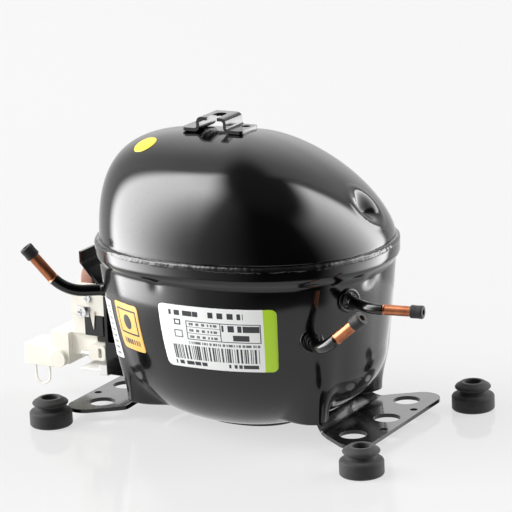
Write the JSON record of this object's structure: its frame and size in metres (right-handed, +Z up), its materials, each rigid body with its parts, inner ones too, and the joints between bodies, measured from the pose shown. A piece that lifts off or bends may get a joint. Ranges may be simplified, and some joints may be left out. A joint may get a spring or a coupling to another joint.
{
  "type": "hermetic reciprocating compressor",
  "caption": "Welded oval steel shell on two foot plates with bent tubes, relay end and loose grommets; spring-hung motor and piston pump inside.",
  "frame": {"origin": "centre of the 170 x 70 mm foot-hole pattern, on the underside of the foot plates", "axes": "+X along the shell away from the electrical end, +Z up along the foot holes"},
  "size_m": [0.284, 0.1745, 0.1818],
  "materials": {
    "black_paint": "gloss black baked paint",
    "bracket_paint": "semi-gloss black paint",
    "weld": "rough weld bead, half covered with black paint",
    "rubber": "matte dark grey moulded rubber",
    "cap_rubber": "soft dark grey rubber",
    "copper": "bare drawn copper, black paint up to the bend",
    "zinc": "bright zinc plating",
    "header_steel": "black painted steel",
    "seal_glass": "fused glass seal",
    "pin_metal": "plated pins",
    "protector": "red-brown phenolic",
    "cream_plastic": "cream moulded plastic",
    "black_plastic": "black moulded plastic",
    "white_metal": "white coated sheet",
    "white_label": "printed white label with a green edge",
    "orange_label": "orange printed label",
    "yellow_sticker": "yellow round sticker",
    "steel": "machined steel",
    "spring_steel": "oiled spring wire",
    "lamination": "stacked electrical steel",
    "winding": "enamelled copper wire, laced",
    "cast_iron": "as cast, machined faces",
    "die_cast": "die cast",
    "reed_steel": "blue spring strip",
    "natural_plastic": "natural plastic",
    "muffler_plastic": "dark moulded plastic",
    "sintered": "sintered steel"
  },
  "bodies": {
    "shell": {"upper_cover": "black_paint", "lower_housing": "black_paint", "weld_bead": "weld", "right_foot_plate": "bracket_paint", "left_foot_plate": "bracket_paint", "top_tray_bracket": "bracket_paint", "suction_tube": "copper", "discharge_tube": "copper", "process_tube": "copper", "suction_collar": "black_paint", "discharge_collar": "black_paint", "process_collar": "black_paint", "terminal_header": "header_steel", "terminal_glass": "seal_glass", "terminal_pins": "pin_metal", "terminal_bracket": "bracket_paint", "overload_protector": "protector", "protector_holder": "cream_plastic", "terminal_cover": "black_plastic", "start_relay": "cream_plastic", "cord_connector": "cream_plastic", "wire_clip": "cream_plastic", "cable_clamp": "cream_plastic", "clamp_screw": "zinc", "earth_screw": "zinc", "lower_bracket": "white_metal", "rating_label": "white_label", "caution_label": "orange_label", "side_label": "white_label", "dot_sticker": "yellow_sticker", "spring_seats": "steel", "suspension_springs": "spring_steel", "lead_connector": "natural_plastic", "inner_discharge_tube": "copper"},
    "front_grommet_body": {"front_grommet": "rubber"},
    "right_grommet_body": {"right_grommet": "rubber"},
    "left_grommet_body": {"left_grommet": "rubber"},
    "rear_grommet_body": {"rear_grommet": "rubber"},
    "suction_cap_body": {"suction_cap": "cap_rubber"},
    "discharge_cap_body": {"discharge_cap": "cap_rubber"},
    "process_cap_body": {"process_cap": "cap_rubber"},
    "pump": {"crankcase": "cast_iron", "stator_core": "lamination", "stator_windings": "winding", "stator_bolts": "steel", "spring_cups": "natural_plastic", "valve_plate": "steel", "cylinder_head": "die_cast", "head_bolts": "steel", "suction_muffler": "muffler_plastic"},
    "crank": {"crankshaft": "cast_iron", "rotor": "die_cast", "oil_pickup": "steel"},
    "piston_body": {"piston": "cast_iron", "wrist_pin": "steel"},
    "rod_body": {"connecting_rod": "sintered"},
    "suction_reed_body": {"suction_reed": "reed_steel"},
    "discharge_reed_body": {"discharge_reed": "reed_steel"}
  },
  "joints": [
    {"name": "front_grommet_lift", "type": "slide", "parent": "shell", "child": "front_grommet_body", "axis": [0, 0, 1], "range_m": [0, 0.05]},
    {"name": "right_grommet_lift", "type": "slide", "parent": "shell", "child": "right_grommet_body", "axis": [0, 0, 1], "range_m": [0, 0.05]},
    {"name": "left_grommet_lift", "type": "slide", "parent": "shell", "child": "left_grommet_body", "axis": [0, 0, 1], "range_m": [0, 0.05]},
    {"name": "rear_grommet_lift", "type": "slide", "parent": "shell", "child": "rear_grommet_body", "axis": [0, 0, 1], "range_m": [0, 0.05]},
    {"name": "suction_cap_pull", "type": "slide", "parent": "shell", "child": "suction_cap_body", "axis": [-0.5195, -0.3179, 0.7932], "range_m": [0, 0.02]},
    {"name": "discharge_cap_pull", "type": "slide", "parent": "shell", "child": "discharge_cap_body", "axis": [0.9928, 0.1201, 0], "range_m": [0, 0.02]},
    {"name": "process_cap_pull", "type": "slide", "parent": "shell", "child": "process_cap_body", "axis": [0.7639, 0.0015, 0.6453], "range_m": [0, 0.02]},
    {"name": "pump_bounce", "type": "slide", "parent": "shell", "child": "pump", "axis": [0, 0, 1], "range_m": [-0.003, 0.003], "stiffness_N_per_m": 14000, "deforming": ["suspension_springs", "inner_discharge_tube"]},
    {"name": "crank_spin", "type": "hinge", "parent": "pump", "child": "crank", "pos_m": [-0.012, 0, 0.06], "axis": [0, 0, 1], "range_deg": [-30, 30]},
    {"name": "piston_slide", "type": "slide", "parent": "pump", "child": "piston_body", "axis": [1, 0, 0], "range_m": [-0.0039, 0.0039]},
    {"name": "rod_swing", "type": "hinge", "parent": "piston_body", "child": "rod_body", "pos_m": [0.02712, 0, 0.104], "axis": [0, 0, 1], "range_deg": [-3.3, 3.3]},
    {"name": "suction_reed_flex", "type": "hinge", "parent": "pump", "child": "suction_reed_body", "pos_m": [0.0446, -0.005, 0.095], "axis": [0, 1, 0], "range_deg": [-5, 0], "stiffness_Nm_per_rad": 0.02},
    {"name": "discharge_reed_flex", "type": "hinge", "parent": "pump", "child": "discharge_reed_body", "pos_m": [0.04805, 0.005, 0.095], "axis": [0, 1, 0], "range_deg": [0, 5], "stiffness_Nm_per_rad": 0.02}
  ],
  "couplings": [
    {"joint": "piston_slide", "follows": "crank_spin", "m_per_rad": -0.00727},
    {"joint": "rod_swing", "follows": "crank_spin", "ratio": -0.1077}
  ]
}
